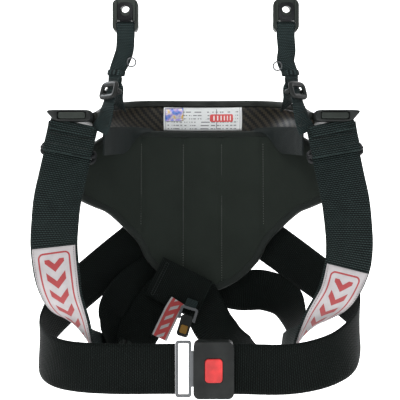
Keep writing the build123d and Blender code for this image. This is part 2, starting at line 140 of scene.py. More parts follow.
class Finish:
    """One procedural material, built node by node."""

    def __init__(self, name, colour=(0.5, 0.5, 0.5), rough=0.6, **sockets):
        self.material = bpy.data.materials.new(name)
        self.material.use_nodes = True
        self.tree = self.material.node_tree
        self.shader = self.tree.nodes["Principled BSDF"]
        self.shader.inputs["Base Color"].default_value = (*colour, 1)
        self.shader.inputs["Roughness"].default_value = rough
        for key, value in sockets.items():
            self.shader.inputs[key.replace("_", " ")].default_value = value
        self.normal = None

    def soften(self, radius):
        """Rounds the look of hard edges."""
        node = self.node("ShaderNodeBevel")
        node.samples = 4
        node.inputs["Radius"].default_value = radius
        self.normal = node.outputs["Normal"]

    def node(self, kind, **settings):
        node = self.tree.nodes.new(kind)
        for key, value in settings.items():
            setattr(node, key, value)
        return node

    def feed(self, socket, value):
        if isinstance(value, Value):
            value = value.socket
        if isinstance(value, bpy.types.NodeSocket):
            self.tree.links.new(value, socket)
        elif isinstance(value, tuple) and len(value) == 3 and socket.type == "RGBA":
            socket.default_value = (*value, 1)
        else:
            socket.default_value = value

    def calc(self, operation, *values):
        node = self.node("ShaderNodeMath", operation=operation)
        for socket, value in zip(node.inputs, values):
            self.feed(socket, value)
        return Value(self, node.outputs[0])

    def mix(self, amount, low, high):
        node = self.node("ShaderNodeMix", data_type="RGBA")
        self.feed(node.inputs["Factor"], amount)
        self.feed(node.inputs["A"], low)
        self.feed(node.inputs["B"], high)
        return node.outputs["Result"]

    def weave(self):
        """Across and along in metres, as stored on the mesh, and both as one vector."""
        node = self.node("ShaderNodeAttribute", attribute_name="weave")
        split = self.node("ShaderNodeSeparateXYZ")
        self.feed(split.inputs[0], node.outputs["Vector"])
        return Value(self, split.outputs[0]), Value(self, split.outputs[1]), node.outputs["Vector"]

    def place(self):
        return self.node("ShaderNodeTexCoord").outputs["Object"]

    def grain(self, vector, scale, detail=3, stretch=None):
        if stretch:
            mapping = self.node("ShaderNodeMapping")
            self.feed(mapping.inputs["Vector"], vector)
            mapping.inputs["Scale"].default_value = stretch
            vector = mapping.outputs[0]
        node = self.node("ShaderNodeTexNoise")
        self.feed(node.inputs["Vector"], vector)
        node.inputs["Scale"].default_value = scale
        node.inputs["Detail"].default_value = detail
        return Value(self, node.outputs["Fac"])

    def ramp(self, value, low, high):
        node = self.node("ShaderNodeMapRange")
        self.feed(node.inputs["Value"], value)
        node.inputs["From Min"].default_value = low
        node.inputs["From Max"].default_value = high
        return node.outputs["Result"]

    def colour(self, socket):
        self.feed(self.shader.inputs["Base Color"], socket)

    def rough(self, socket):
        self.feed(self.shader.inputs["Roughness"], socket)

    def bump(self, height, distance, strength=1.0):
        node = self.node("ShaderNodeBump")
        node.inputs["Distance"].default_value = distance
        node.inputs["Strength"].default_value = strength
        self.feed(node.inputs["Height"], height)
        if self.normal:
            self.feed(node.inputs["Normal"], self.normal)
        self.normal = node.outputs["Normal"]
        self.feed(self.shader.inputs["Normal"], self.normal)


class Value:
    """A number in a material: arithmetic on it adds the math nodes."""

    def __init__(self, finish, socket):
        self.finish = finish
        self.socket = socket

    def __add__(self, other):
        return self.finish.calc("ADD", self, other)

    def __sub__(self, other):
        return self.finish.calc("SUBTRACT", self, other)

    def __mul__(self, other):
        return self.finish.calc("MULTIPLY", self, other)

    def __truediv__(self, other):
        return self.finish.calc("DIVIDE", self, other)

    def __mod__(self, other):
        return self.finish.calc("FLOORED_MODULO", self, other)

    def __pow__(self, other):
        return self.finish.calc("POWER", self, other)

    def __lt__(self, other):
        return self.finish.calc("LESS_THAN", self, other)

    def __gt__(self, other):
        return self.finish.calc("GREATER_THAN", self, other)

    def __abs__(self):
        return self.finish.calc("ABSOLUTE", self)


def sine(value):
    return value.finish.calc("SINE", value)


def floor(value):
    return value.finish.calc("FLOOR", value)


def fract(value):
    return value.finish.calc("FRACT", value)


def root(value):
    return value.finish.calc("SQRT", value)


def larger(value, other):
    return value.finish.calc("MAXIMUM", value, other)


def smaller(value, other):
    return value.finish.calc("MINIMUM", value, other)


def linear(value, slope, start):
    return value.finish.calc("MULTIPLY_ADD", value, slope, start)


def webbing(name, dark, light, row, column, depth, sheen=0.05, shine=0.22):
    """Ribbed webbing: rows across the strap, broken into short floats like bricks."""
    finish = Finish(name, rough=0.62, Sheen_Weight=sheen, Sheen_Roughness=0.45, Specular_IOR_Level=shine)
    across, along, place = finish.weave()
    rows = along / row
    columns = across / column + floor(rows) * 0.5
    height = abs(sine(rows * math.pi)) * linear(abs(sine(columns * math.pi)), 0.45, 0.55)
    wear = finish.grain(place, 90, 4)
    finish.colour(finish.mix(height ** 2.4 * linear(wear, 0.9, 0.55), dark, light))
    finish.rough(linear(height, -0.16, 0.72))
    finish.bump(height, depth)
    fibre = finish.grain(place, 2600, 2, (3.0, 1.0, 1.0))
    finish.bump(fibre, 0.00012, 0.5)
    return finish.material


def knit(name, dark, light, pitch, fuzz=0.5, sheen=0.06):
    """Fine knitted or brushed cloth on a weave grid, with slow patches of wear."""
    finish = Finish(name, rough=0.9, Sheen_Weight=sheen, Sheen_Roughness=0.6, Specular_IOR_Level=0.15)
    across, along, place = finish.weave()
    rate = 2 * math.pi / pitch
    loop = sine(across * rate) * sine(along * rate)
    nap = finish.grain(place, 900, 4)
    patch = finish.grain(place, 22, 3)
    tone = linear(nap, 0.6, linear(patch, 0.5, -0.1))
    finish.colour(finish.mix(linear(loop, 0.12, tone), dark, light))
    finish.bump(loop, 0.00018, 0.5)
    finish.bump(nap, 0.0005 * fuzz, 0.8)
    return finish.material


def carbon():
    """Two-by-two twill under a clear coat: tows of two tones in diagonal steps."""
    finish = Finish("carbon", rough=0.38, Coat_Weight=0.1, Coat_Roughness=0.3, Specular_IOR_Level=0.15)
    across, along, place = finish.weave()
    tow = 0.0026
    column, row = across / tow, along / tow
    warp = (floor(column) + floor(row)) % 4.0 < 1.5
    swell = finish.mix(warp, sine(fract(row) * math.pi), sine(fract(column) * math.pi))
    patch = finish.grain(place, 60, 3)
    warm = finish.mix(patch, (0.010, 0.009, 0.006), (0.040, 0.034, 0.022))
    finish.colour(finish.mix(warp, (0.003, 0.003, 0.003), warm))
    finish.rough(linear(warp, -0.1, 0.45))
    finish.bump(swell, 0.00012, 0.4)
    return finish.material


def moulded(name, colour, rough, scale=700, metallic=0.0, coat=0.0, depth=0.00006):
    """Moulded plastic, painted metal or thread: fine grain, handling marks and dust."""
    finish = Finish(name, colour, rough, Metallic=metallic, Coat_Weight=coat, Specular_IOR_Level=0.22)
    finish.soften(0.0006)
    place = finish.place()
    smear = finish.grain(place, 55, 4)
    lighter = tuple(min(1, c * 1.5 + 0.008) for c in colour)
    darker = tuple(c * 0.72 for c in colour)
    finish.colour(finish.mix(finish.ramp(smear, 0.35, 0.7), darker, lighter))
    finish.rough(linear(smear, 0.24, rough - 0.12))
    finish.bump(finish.grain(place, scale, 4), depth)
    return finish.material


def brushed(name, colour, rough):
    """Bare metal with fine lines."""
    finish = Finish(name, colour, rough, Metallic=1.0)
    finish.soften(0.0006)
    place = finish.place()
    lines = finish.grain(place, 900, 3, (0.05, 1.0, 1.0))
    smear = finish.grain(place, 80, 3)
    finish.colour(finish.mix(smear, tuple(c * 0.75 for c in colour), colour))
    finish.rough(linear(lines, 0.22, rough - 0.08))
    finish.bump(lines, 0.00005, 0.7)
    return finish.material


def rounded_frame(across, along, half_width, half_length, corner, line):
    """1 on a thin line round a rounded rectangle, and the distance outside it."""
    dx = abs(across) - (half_width - corner)
    dy = abs(along) - (half_length - corner)
    ox, oy = larger(dx, 0.0), larger(dy, 0.0)
    distance = root(ox * ox + oy * oy) + smaller(larger(dx, dy), 0.0) - corner
    return abs(distance) < line, distance


def strap_label_cloth(length):
    """White woven patch with a red frame and plain red chevrons."""
    finish = Finish("label_cloth", rough=0.7, Sheen_Weight=0.1)
    across, along, place = finish.weave()
    half = length / 2
    frame_line, distance = rounded_frame(across, along - half, 0.0165, half - 0.006, 0.005, 0.0009)
    chevron = fract(linear(abs(across), 0.9, along) / 0.017) < 0.46
    mark = chevron * ((abs(across) < 0.0105) * (distance < -0.006))
    dirt = finish.grain(place, 70, 4)
    white = finish.mix(dirt, (0.27, 0.25, 0.255), (0.50, 0.475, 0.485))
    ink = finish.mix(dirt, (0.22, 0.018, 0.02), (0.36, 0.035, 0.04))
    finish.colour(finish.mix(larger(mark, frame_line), white, ink))
    finish.bump(sine(along * (2 * math.pi / 0.0009)), 0.00008, 0.6)
    return finish.material


def sticker_vinyl():
    """White data sticker: ruled frame, rows of plain dashes and a red box."""
    finish = Finish("sticker_vinyl", rough=0.35, Coat_Weight=0.3)
    across, along, place = finish.weave()
    frame_line, distance = rounded_frame(across, along, 0.045, 0.0155, 0.002, 0.00035)
    word = finish.grain(place, 420, 1, (1.0, 0.12, 1.0))
    dash = (fract(along / 0.0042) < 0.3) * (word > 0.5)
    column = abs(across - 0.012) < 0.0004
    ruled = distance < -0.003
    marks = larger(dash * ruled, column * ruled)
    _, box = rounded_frame(across - 0.0195, along - 0.0015, 0.0145, 0.0048, 0.002, 0.0006)
    stripe = (fract(across / 0.0042) < 0.35) * (box < -0.0018)
    fade = finish.grain(place, 60, 3)
    paper = finish.mix(fade, (0.58, 0.60, 0.60), (0.78, 0.80, 0.80))
    paper = finish.mix(larger(marks, frame_line), paper, (0.16, 0.17, 0.18))
    red = finish.mix(stripe, (0.62, 0.06, 0.06), (0.8, 0.76, 0.76))
    finish.colour(finish.mix(box < 0.0, paper, red))
    return finish.material


def foil():
    """A crinkled foil seal in blurred bands of blue, violet and gold."""
    finish = Finish("foil", rough=0.25, Metallic=0.7)
    _, _, place = finish.weave()
    cells = finish.node("ShaderNodeTexVoronoi")
    finish.feed(cells.inputs["Vector"], place)
    cells.inputs["Scale"].default_value = 260
    bands = finish.node("ShaderNodeValToRGB")
    finish.feed(bands.inputs[0], finish.grain(place, 130, 2))
    stops = bands.color_ramp.elements
    stops[0].color = (0.05, 0.09, 0.35, 1)
    stops[0].position = 0.32
    stops[1].color = (0.75, 0.45, 0.10, 1)
    stops[1].position = 0.68
    for position, colour in ((0.42, (0.12, 0.25, 0.62)), (0.5, (0.42, 0.3, 0.6)), (0.58, (0.6, 0.62, 0.65))):
        stops.new(position).color = (*colour, 1)
    finish.colour(bands.outputs[0])
    finish.bump(cells.outputs["Distance"], 0.0002, 0.5)
    return finish.material


def tag_print():
    """A white care tag with faint violet rows."""
    finish = Finish("tag_print", rough=0.6)
    _, along, place = finish.weave()
    printed = (fract(along / 0.003) < 0.35) * (finish.grain(place, 500, 1) > 0.5)
    finish.colour(finish.mix(printed, (0.45, 0.45, 0.48), (0.3, 0.28, 0.4)))
    return finish.material


def red_white_cloth():
    """White tape with a red line near each edge and slanted red bars between."""
    finish = Finish("red_white_cloth", rough=0.7, Sheen_Weight=0.15)
    across, along, place = finish.weave()
    line = abs(abs(across) - 0.0055) < 0.0017
    bars = fract((along + across) / 0.012) < 0.6
    dirt = finish.grain(place, 80, 3)
    white = finish.mix(dirt, (0.17, 0.16, 0.165), (0.34, 0.33, 0.33))
    ink = finish.mix(dirt, (0.20, 0.012, 0.012), (0.34, 0.025, 0.025))
    finish.colour(finish.mix(larger(line, bars * (abs(across) < 0.0042)), white, ink))
    finish.bump(sine(along * (2 * math.pi / 0.0012)), 0.00012, 0.6)
    return finish.material


# Mesh building --------------------------------------------------------------------

def circle(count, shift=0.0):
    """The cosine and sine of each step round a turn."""
    turns = [math.tau * (k + shift) / count for k in range(count)]
    return [(math.cos(turn), math.sin(turn)) for turn in turns]


def squarer(value, power):
    """Pushes a sine or cosine outward, which squares off an oval."""
    return math.copysign(abs(value) ** power, value)


class Piece:
    """Vertices, faces and weave coordinates of one piece, in metres."""

    def __init__(self):
        self.verts = []
        self.faces = []
        self.weave = []

    def grid(self, rows, weaves, closed=True, capped=True):
        """A skin over rows of points; each row is a closed loop unless told otherwise."""
        base = len(self.verts)
        wide = len(rows[0])
        for row, coords in zip(rows, weaves):
            self.verts += row
            self.weave += coords
        steps = wide if closed else wide - 1
        for i in range(len(rows) - 1):
            for j in range(steps):
                a = base + i * wide + j
                b = base + i * wide + (j + 1) % wide
                self.faces.append((a, b, b + wide, a + wide))
        if capped and closed:
            self.faces.append(tuple(base + j for j in range(wide)))
            self.faces.append(tuple(base + (len(rows) - 1) * wide + j for j in reversed(range(wide))))

    def box(self, centre, x_dir, y_dir, z_dir, size, corner=0.3):
        """A softened block: twelve-sided section, pinched at both ends."""
        rows = []
        weaves = []
        half = Vector(size) / 2
        for along, pinch in ((-1, 0.7), (-0.86, 1), (0.86, 1), (1, 0.7)):
            row = []
            for c, s in circle(12, 0.5):
                px = half.x * squarer(c, corner) * pinch
                py = half.y * squarer(s, corner) * pinch
                row.append(centre + x_dir * px + y_dir * py + z_dir * (half.z * along))
            rows.append(row)
            weaves.append([Vector((p.x, p.z, 0)) for p in row])
        self.grid(rows, weaves)

    def tube(self, path, radius, closed=False, flat=1.0, normal=None, sides=12):
        """A round or flattened rod along a path."""
        rows = []
        weaves = []
        count = len(path)
        length = 0
        for i, spot in enumerate(path):
            before = path[i - 1] if closed or i else path[0]
            after = path[(i + 1) % count] if closed or i + 1 < count else path[-1]
            along = (after - before).normalized()
            side = along.cross(normal or Vector((0, 0, 1)))
            if side.length < 0.05:
                side = along.cross(Vector((0, 1, 0)))
            side.normalize()
            up = side.cross(along)
            row = [spot + side * (radius * c) + up * (radius * flat * s) for c, s in circle(sides)]
            length += (spot - path[max(i - 1, 0)]).length
            rows.append(row)
            weaves.append([Vector((radius * k / 2, length, 0)) for k in range(sides)])
        if closed:
            rows.append(rows[0])
            weaves.append(weaves[0])
        self.grid(rows, weaves, capped=not closed)

    def make(self, name, material, slot, body="harness", replaces=()):
        mesh = bpy.data.meshes.new(name)
        mesh.from_pydata(self.verts, [], self.faces)
        layer = mesh.attributes.new("weave", "FLOAT_VECTOR", "POINT")
        layer.data.foreach_set("vector", [c for v in self.weave for c in v])
        work = bmesh.new()
        work.from_mesh(mesh)
        bmesh.ops.remove_doubles(work, verts=work.verts, dist=1e-6)
        bmesh.ops.recalc_face_normals(work, faces=work.faces)
        work.to_mesh(mesh)
        work.free()
        mesh.shade_smooth()
        mesh.materials.append(material)
        piece = bpy.data.objects.new(name, mesh)
        bpy.context.collection.objects.link(piece)
        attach(piece, body)
        if replaces:
            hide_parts(*replaces)
        return piece


def through(points, steps):
    """A smooth curve through the points, with that many steps to each run."""
    points = [Vector(p) for p in points]
    ends = [points[0] * 2 - points[1], *points, points[-1] * 2 - points[-2]]
    curve = []
    for i in range(len(points) - 1):
        p0, p1, p2, p3 = ends[i:i + 4]
        for k in range(steps):
            t = k / steps
            curve.append(0.5 * (2 * p1 + (p2 - p0) * t + (2 * p0 - 5 * p1 + 4 * p2 - p3) * t ** 2
                                + (3 * p1 - p0 - 3 * p2 + p3) * t ** 3))
    curve.append(points[-1])
    return curve


def ribbon(route, facings, width, thick, lift=0.0, start=0.0, end=1.0, steps=10, ripple=0.35,
           selvage=0.25, columns=14, seed=1.0):
    """Flat webbing along a route in millimetres, facing the way the facings say.
    Returns the piece and its length in metres."""
    centres = through(route, steps)
    looks = through(facings, steps)
    first = round(start * (len(centres) - 1))
    last = round(end * (len(centres) - 1))
    length = 0.0
    rows, weaves = [], []
    for i in range(first, last + 1):
        along = (centres[min(i + 1, len(centres) - 1)] - centres[max(i - 1, 0)]).normalized()
        across = looks[i].cross(along).normalized()
        outward = along.cross(across)
        if i > first:
            length += (centres[i] - centres[i - 1]).length
        row, coords = [], []
        for side in (1, -1):
            for k in range(columns + 1):
                share = (k / columns * 2 - 1) * side
                x = share * width / 2
                roll = selvage if abs(share) > 0.86 and abs(share) < 0.99 else 0
                height = side * (thick / 2 + roll)
                if abs(share) > 0.99:
                    height = side * thick / 2 * 0.45
                wave = noise.noise(Vector((seed * 7.3, length * 0.035, share * 0.9))) * ripple
                spot = centres[i] + across * x + outward * (height + wave + lift)
                row.append(spot * MM)
                coords.append(Vector((x, length, side)) * MM)
        rows.append(row)
        weaves.append(coords)
    piece = Piece()
    piece.grid(rows, weaves)
    return piece, length * MM


def stitch_row(piece, spots, outward, thread=0.9, fill=0.62):
    """Short raised stitches along a list of points, in metres."""
    for a, b, out in zip(spots, spots[1:], outward):
        run = b - a
        if run.length < 1e-6:
            continue
        along = run.normalized()
        side = out.cross(along).normalized()
        piece.box((a + b) / 2 + out * (thread * 0.25 * MM), side, out, along,
                  (thread * MM, thread * 0.75 * MM, run.length * fill), corner=0.8)


# The collar -----------------------------------------------------------------------

def collar_spot(angle):
    turn = math.radians(angle)
    sideways = COLLAR_HALF_WIDTH * abs(math.sin(turn)) ** SQUARENESS
    backward = COLLAR_DEPTH * abs(math.cos(turn)) ** SQUARENESS
    return Vector((math.copysign(sideways, angle), backward, 0))


def collar_frame(angle):
    """The collar's line at an angle, and the way out from it."""
    along = (collar_spot(angle + 0.4) - collar_spot(angle - 0.4)).normalized()
    return collar_spot(angle), Vector((0, 0, 1)).cross(along)


def rim_height(angle):
    return COLLAR_TOP - COLLAR_FALL * abs(angle / 90) ** 2.6


def foot_height(angle):
    turn = abs(angle)
    clear_of_liner = 12.5 * min(max((turn - 18) / 12, 0), 1)
    return -14 + clear_of_liner - 11 * max(0, (turn - 42) / 48) ** 1.5


def wall_out(share):
    """How far the collar wall stands out at a share of its height: it bulges."""
    return -2 + 4 * share + 12 * share * (1 - share)


def wall_point(angle, share, shift=0.0):
    centre, outward = collar_frame(angle)
    foot = foot_height(angle)
    height = foot + (rim_height(angle) - TRIM_HEIGHT - foot) * share
    return centre + outward * (wall_out(share) + shift) + Vector((0, 0, height))


def collar_angles(low, high, count):
    return [low + (high - low) * i / count for i in range(count + 1)]


def make_collar(paint, trim_paint):
    """The carbon collar and the rounded rim along its top."""
    shell, trim = Piece(), Piece()
    rows, weaves, trim_rows, trim_weaves = [], [], [], []
    length = 0.0
    previous = None
    for angle in collar_angles(-89.6, 89.6, 144):
        centre, outward = collar_frame(angle)
        length += (centre - previous).length if previous else 0
        previous = centre
        row, coords = [], []
        shares = [k / 12 for k in range(13)]
        for share in shares:
            row.append(wall_point(angle, share) * MM)
            coords.append(Vector((length, row[-1].z / MM, 0)) * MM)
        for share in reversed(shares):
            row.append(wall_point(angle, share, COLLAR_THICK) * MM)
            coords.append(Vector((length, row[-1].z / MM, 0)) * MM)
        rows.append(row)
        weaves.append(coords)
        middle = rim_height(angle) - TRIM_HEIGHT / 2
        loop, loop_coords = [], []
        for k, (c, s) in enumerate(circle(20)):
            across = 2 + COLLAR_THICK / 2 + 2.9 * squarer(c, 0.75)
            up = middle + (TRIM_HEIGHT / 2) * squarer(s, 0.6)
            loop.append((centre + outward * across + Vector((0, 0, up))) * MM)
            loop_coords.append(Vector((length, k * 1.2, 0)) * MM)
        trim_rows.append(loop)
        trim_weaves.append(loop_coords)
    shell.grid(rows, weaves)
    trim.grid(trim_rows, trim_weaves)
    shell.make("collar", paint, "carbon", replaces=["collar_shell"])
    trim.make("collar_rim", trim_paint, "trim_plastic", replaces=["collar_edge_trim"])


def make_sticker(name, low_angle, high_angle, low, high, lift, paint, slot, node, tilt=0.0):
    """A thin curved sheet on the collar's inner face, between two heights."""
    rows, weaves = [], []
    angles = collar_angles(low_angle, high_angle, 40)
    wide = (collar_spot(high_angle) - collar_spot(low_angle)).length
    for i, angle in enumerate(angles):
        across = wide * (i / 40 - 0.5)
        foot = foot_height(angle)
        full = rim_height(angle) - TRIM_HEIGHT - foot
        row, coords = [], []
        for back in (0, 1):
            for k in range(11):
                up = k / 10 if not back else 1 - k / 10
                height = low + (high - low) * up + tilt * across
                share = (height - foot) / full
                row.append(wall_point(angle, share, -lift - 0.35 * (1 - back)) * MM)
                coords.append(Vector((across, height - (low + high) / 2 - tilt * across, 0)) * MM)
        rows.append(row)
        weaves.append(coords)
    sheet = Piece()
    sheet.grid(rows, weaves)
    sheet.make(name, paint, slot, replaces=[node])


# The liner ------------------------------------------------------------------------

LINER_HALF = [(108, -8), (124, -19), (137, -34), (144, -60), (143, -80), (139, -88), (126, -95),
              (112, -102), (95, -118), (77, -138), (66, -160), (46, -181), (24, -194), (8, -197.6),
              (0, -198)]
BACK_SHELL_HALF = [(84, -3), (84, -9), (100, -18), (116, -30), (121, -46), (122, -60), (120, -76),
                   (114, -88), (95, -100), (76, -118), (60, -140), (48, -160), (30, -178), (12, -185),
                   (0, -186)]
CHANNELS = ((-74.6, -120), (-24, -170), (23, -193), (73, -120))


def half_width(outline, z):
    """Half a panel's width at z, from its (half width, z) outline."""
    for (wide, high), (narrow, low) in zip(outline, outline[1:]):
        if low <= z <= high:
            return narrow + (wide - narrow) * (z - low) / (high - low)
    return 0.0


def liner_back(x, z, depth):
    """A point depth millimetres behind the liner's inner face."""
    radius = LINER_RADIUS + depth
    y = LINER_FRONT - LINER_RADIUS + math.sqrt(radius ** 2 - x ** 2) + LINER_LEAN * z
    return Vector((x, y, z))


def channel_dip(x, z):
    dip = 0.0
    for place, end in CHANNELS:
        if z > end - 6:
            dip += math.exp(-((x - place) / 3.2) ** 2)
    return min(dip, 1.0)


def make_liner(cloth, thread):
    """The padded panel, quilted by four sewn channels."""
    heights = [-4.0 - 1.5 * k for k in range(129)] + [-197.6]
    columns = 96
    rows, weaves = [], []
    for z in heights:
        half = max(half_width(LINER_HALF, min(z, -8.0)), 1.5)
        row, coords = [], []
        for face in (0, 1):
            for k in range(columns + 1):
                share = k / columns * 2 - 1
                share = share if face == 0 else -share
                x = half * share
                from_side = half * (1 - abs(share))
                from_end = min(-z - 3, (z + 198) * 1.4)
                edge = min(1.0, (max(min(from_side, from_end), 0) / 9) ** 0.5)
                puff = 0.55 + 0.45 * edge
                dip = channel_dip(x, z) * 0.42
                soft = noise.noise(Vector((x * 0.018, z * 0.018, 3 + face))) * 0.7 * edge
                reach = LINER_THICK / 2 * (puff - dip) + soft * 0.5
                depth = LINER_THICK / 2 + (reach if face else -reach)
                row.append(liner_back(x, z, depth) * MM)
                coords.append(Vector((x, z, face)) * MM)
        rows.append(row)
        weaves.append(coords)
    panel = Piece()
    panel.grid(rows, weaves)
    liner = panel.make("liner_pad", cloth, "liner_fabric", replaces=["back_liner"])
    stitches = Piece()
    for place, end in CHANNELS:
        spots = [liner_back(place, z, 1.6) * MM for z in range(-19, end, -3)]
        stitch_row(stitches, spots, [Vector(FRONT)] * len(spots), thread=0.6, fill=0.42)
    stitches.make("liner_stitches", thread, "binding_tape")


def edge_tape(name, outline, tape, half_wide, half_thick, replaces=()):
    """Binding folded over the liner's edge along (x, z) points."""
    path = through([liner_back(x, z, LINER_THICK / 2) for x, z in outline], 8)
    rows, weaves = [], []
    length = 0.0
    for i, spot in enumerate(path):
        along = (path[min(i + 1, len(path) - 1)] - path[max(i - 1, 0)]).normalized()
        centre = Vector((0, LINER_FRONT - LINER_RADIUS, spot.z))
        inward = (centre - spot).normalized()
        to_middle = inward.cross(along).normalized()
        length += (spot - path[max(i - 1, 0)]).length
        row, coords = [], []
        for k, (c, s) in enumerate(circle(18)):
            ripple = noise.noise(Vector((length * 0.09, k * 0.5, 2))) * 0.22
            x = half_wide * squarer(c, 0.55) + half_wide * 0.55
            y = (half_thick + ripple) * squarer(s, 0.5) * (0.86 if c < -0.5 else 1)
            row.append((spot + to_middle * x + inward * y) * MM)
            coords.append(Vector((x + half_thick * s, length, 0)) * MM)
        rows.append(row)
        weaves.append(coords)
    piece = Piece()
    piece.grid(rows, weaves)
    piece.make(name, tape, "binding_tape", replaces=replaces)


def make_bindings(tape, thread):
    """Tape round the liner's edge and along its top, with a sewn line."""
    side = [(x, z) for x, z in LINER_HALF[:-1]]
    outline = [(-x, z) for x, z in side] + [(0, -198)] + [(x, z) for x, z in reversed(side)]
    edge_tape("liner_edge_tape", outline, tape, 4.2, 4.6)
    edge_tape("liner_top_tape", [(x, -5.2) for x in range(108, -109, -12)], tape, 4.2, 5.0,
              replaces=["liner_top_binding"])
    stitches = Piece()
    spots = [liner_back(x, -10.2, -0.9) * MM for x in range(-103, 104, 3)]
    stitch_row(stitches, spots, [Vector(FRONT)] * len(spots), thread=0.7, fill=0.55)
    stitches.make("binding_stitches", thread, "binding_tape")


def make_back_shell(paint):
    """The plate behind the liner, to its own outline."""
    rows, weaves = [], []
    for z in [-3 - 1.5 * k for k in range(122)] + [-185.8]:
        reach = max(half_width(BACK_SHELL_HALF, z), 1)
        row, coords = [], []
        for face in (0, 1):
            for k in range(61):
                share = (k / 60 * 2 - 1) * (1 if face == 0 else -1)
                x = reach * share
                depth = LINER_THICK + 0.2 + SHELL_THICK * (face if abs(share) < 0.985 else 0.5)
                row.append(liner_back(x, z, depth) * MM)
                coords.append(Vector((x, z, 0)) * MM)
        rows.append(row)
        weaves.append(coords)
    shell = Piece()
    shell.grid(rows, weaves)
    shell.make("back_plate", paint, "carbon", replaces=["back_shell"])


# Straps ---------------------------------------------------------------------------

SHOULDER = {
    "left": [(-136, 0, -7), (-138.7, -1.8, -20), (-142.3, -4.2, -38), (-146.4, -7, -58),
             (-151, -16, -88), (-152, -24, -114), (-151.5, -30, -136), (-147.6, -34, -164),
             (-142.4, -30, -189), (-132.5, -18, -212), (-124, 0, -232), (-115, 24, -252),
             (-108, 44, -264)],
    "right": [(133.5, 0, -7), (135.8, -1.8, -20), (139, -4.2, -38), (142.5, -7, -58),
              (147, -16, -88), (148.3, -24, -114), (148, -30, -136), (144.6, -34, -157),
              (135.4, -30, -184), (118.6, -16, -210), (106, 0, -230), (95, 24, -249),
              (88, 44, -261)],
}
SHOULDER_FACINGS = [FRONT] * 4 + [(0.05, -1, 0), (0.1, -1, 0), (0.15, -1, 0), (0.25, -1, 0),
                                  (0.45, -0.9, 0), (0.65, -0.75, 0), (0.8, -0.6, 0), (0.9, -0.4, 0),
                                  (0.95, -0.3, 0)]
SIDE_STRAP = {
    "left": [(-62, 117, -118), (-79, 112, -137), (-112, 100, -164), (-144, 75, -192),
             (-163, 50, -213), (-175, 20, -235), (-168, -10, -247), (-142, -33, -254),
             (-93, -42, -256), (-28.2, -42, -256)],
    "right": [(60, 114, -122), (80, 108, -138), (111, 97, -161), (136, 74, -180),
              (158, 46, -196), (168, 20, -212), (160, -8, -230), (136, -32, -246),
              (90, -42, -256), (25, -42, -256)],
}
SIDE_FACINGS = [(0.1, 1, 0), (0.2, 1, 0), (0.4, 0.9, 0), (0.6, 0.8, 0), (0.85, 0.5, 0), (1, 0, 0),
                (0.85, -0.55, 0), (0.3, -1, 0), (0, -1, 0), (0, -1, 0)]
LOWER_STRAP = {
    "left": [(-26, 118, -160), (-52, 113.5, -174), (-86, 97, -196), (-102, 83, -217),
             (-106, 71, -238), (-107, 60, -253), (-109, 47, -266)],
    "right": [(14, 116.5, -192), (45, 115.5, -199), (74, 114, -199), (99, 108, -208),
              (110, 92, -227), (111, 72, -246), (107, 50, -263)],
}
LOWER_FACINGS = [(0, 1, 0), (0.2, 1, 0), (0.4, 0.9, 0), (0.6, 0.8, 0), (0.8, 0.5, 0), (0.9, 0.3, 0),
                 (0.95, -0.2, 0)]
CROSS_STRAP = {
    "left": [(-30, 97, -190), (-47, 96, -203), (-62, 94, -222), (-76, 84, -243), (-88, 66, -260),
             (-97, 52, -268)],
    "right": [(-8, 99.6, -201), (3, 98.6, -221), (14, 94.5, -241), (31, 84, -257), (56, 67, -266),
              (80, 52, -268)],
}
CROSS_FACINGS = [(0, -1, 0), (0, -1, 0), (0, -1, -0.1), (0.2, -1, -0.3), (0.5, -0.9, -0.4),
                 (0.8, -0.6, -0.3)]
TETHER_FACINGS = [(0.1, -1, 0), (0.45, -0.88, 0), (0.6, -0.8, 0), (0.72, -0.7, 0), (0.78, -0.63, 0),
                  (0.72, -0.7, 0), (0.5, -0.86, 0), (0.15, -1, 0), (0, -1, 0)]
TETHER_TOP = {"left": 82, "right": 87}
LABEL_SPAN = {"left": (6 / 12, 10 / 12), "right": (7 / 12, 11 / 12)}


def turned(sign, facings):
    """Vectors mirrored to a side."""
    return [(sign * x, y, z) for x, y, z in facings]


def strap_frame(route, facings, share, steps=10):
    """Centre, across, along and outward of a strap at a share of its route."""
    centres = through(route, steps)
    looks = through(facings, steps)
    i = round(share * (len(centres) - 1))
    along = (centres[min(i + 1, len(centres) - 1)] - centres[max(i - 1, 0)]).normalized()
    across = looks[i].cross(along).normalized()
    return centres[i], across, along, along.cross(across)


def stitch_box(piece, route, facings, share, half_wide, half_long, lift, cross=True, pitch=2.6):
    """A sewn box, with a cross in it, on a strap's outer face."""
    centre, across, along, outward = strap_frame(route, facings, share)
    corners = [(-1, -1), (1, -1), (1, 1), (-1, 1), (-1, -1)]
    runs = list(zip(corners, corners[1:]))
    if cross:
        runs += [((-1, -1), (1, 1)), ((-1, 1), (1, -1))]
    for (ax, ay), (bx, by) in runs:
        a = centre + across * (ax * half_wide) + along * (ay * half_long) + outward * lift
        b = centre + across * (bx * half_wide) + along * (by * half_long) + outward * lift
        count = max(2, round((b - a).length / pitch))
        spots = [(a + (b - a) * k / count) * MM for k in range(count + 1)]
        stitch_row(piece, spots, [outward] * count, thread=0.8)


def edge_stitches(piece, route, facings, low, high, offset, lift, count=60, thread=0.7):
    """A stitched line beside a strap's edge, from one share of its route to another."""
    spots, outs = [], []
    for k in range(count + 1):
        centre, across, along, outward = strap_frame(route, facings, low + (high - low) * k / count, 40)
        spots.append((centre + across * offset + outward * lift) * MM)
        outs.append(outward)
    stitch_row(piece, spots, outs, thread=thread)


